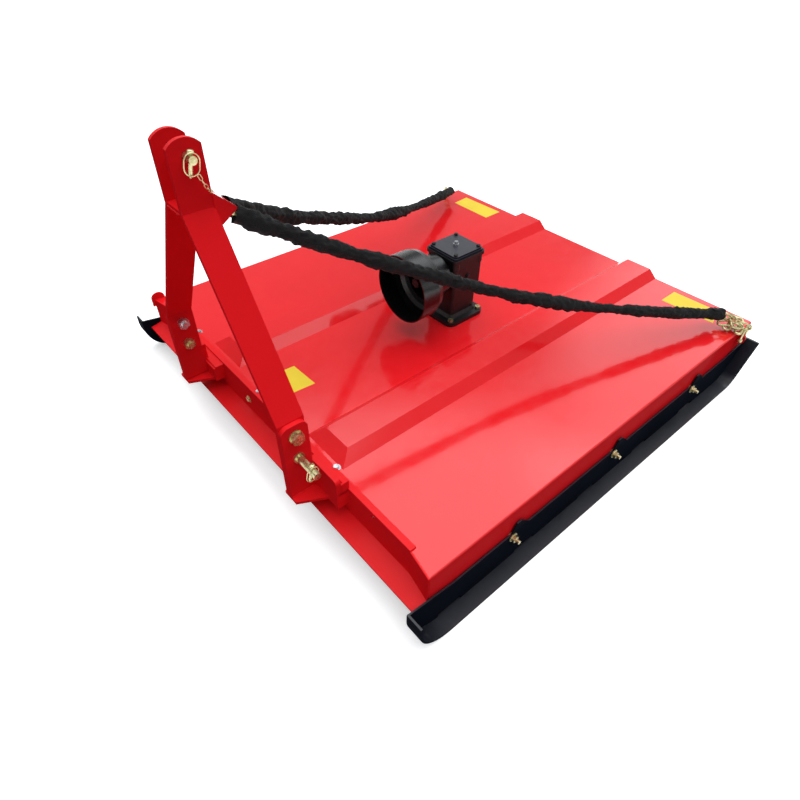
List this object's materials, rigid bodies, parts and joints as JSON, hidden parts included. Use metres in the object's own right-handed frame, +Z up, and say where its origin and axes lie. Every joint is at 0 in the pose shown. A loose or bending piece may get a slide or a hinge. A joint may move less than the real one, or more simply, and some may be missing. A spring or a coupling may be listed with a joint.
{
  "type": "rotary cutter",
  "caption": "Tractor-mounted rotary cutter: ribbed sheet deck on side skids, three-point mast, gearbox with shaft shield, sleeved stay chains and swinging blades under the deck.",
  "frame": {"origin": "on the ground below the middle of the machine's box", "axes": "+Z up, -Y towards the tractor hitch, +X to the side of the top pin's lynch pin"},
  "size_m": [1.696, 1.794, 1.0599],
  "materials": {
    "red_paint": "gloss",
    "gearbox_black": "satin",
    "black_paint": "satin",
    "zinc": "satin",
    "steel": "satin",
    "black_plastic": "satin",
    "sleeve": "matte"
  },
  "bodies": {
    "frame": {"breather_plug": "zinc", "chain_bracket": "red_paint", "chain_links_left": "zinc", "chain_links_right": "zinc", "chain_lug_left": "red_paint", "chain_lug_right": "red_paint", "chain_pin": "zinc", "chain_shackle_left": "zinc", "chain_shackle_right": "zinc", "chain_sleeve_left": "sleeve", "chain_sleeve_right": "sleeve", "cover_screws": "zinc", "cross_channel_front": "red_paint", "cross_channel_rear": "red_paint", "deck": "red_paint", "front_beam": "red_paint", "gearbox": "gearbox_black", "gearbox_bolts": "zinc", "gearbox_cover": "gearbox_black", "gearbox_seat": "red_paint", "hitch_bracket_left": "red_paint", "hitch_bracket_right": "red_paint", "hitch_pin_left": "zinc", "hitch_pin_right": "zinc", "lynch_pin_left": "zinc", "lynch_pin_right": "zinc", "lynch_pin_top": "zinc", "mast_bar_left": "red_paint", "mast_bar_right": "red_paint", "mast_bolt_left": "zinc", "mast_bolt_right": "zinc", "mast_spacer": "red_paint", "pto_shield": "black_plastic", "skid_bolts_left": "zinc", "skid_bolts_right": "zinc", "skid_left": "black_paint", "skid_right": "black_paint", "top_link_pin": "zinc"},
    "rotor": {"blade_carrier": "black_paint", "blade_pivot_1": "steel", "blade_pivot_2": "steel", "rotor_shaft": "black_paint"},
    "input_shaft": {"pto_shaft": "steel"},
    "blade_one": {"blade_1": "steel"},
    "blade_two": {"blade_2": "steel"}
  },
  "joints": [
    {"name": "rotor_spin", "type": "hinge", "parent": "frame", "child": "rotor", "pos_m": [0, 0.05, 0.2], "axis": [0, 0, 1], "continuous": true},
    {"name": "input_spin", "type": "hinge", "parent": "frame", "child": "input_shaft", "pos_m": [0, -0.1, 0.416], "axis": [0, -1, 0], "continuous": true},
    {"name": "blade_one_swing", "type": "hinge", "parent": "rotor", "child": "blade_one", "pos_m": [0.5, 0.05, 0.095], "axis": [0, 0, 1], "continuous": true},
    {"name": "blade_two_swing", "type": "hinge", "parent": "rotor", "child": "blade_two", "pos_m": [-0.5, 0.05, 0.095], "axis": [0, 0, 1], "continuous": true}
  ],
  "couplings": [
    {"joint": "input_spin", "follows": "rotor_spin", "ratio": 0.5181}
  ]
}
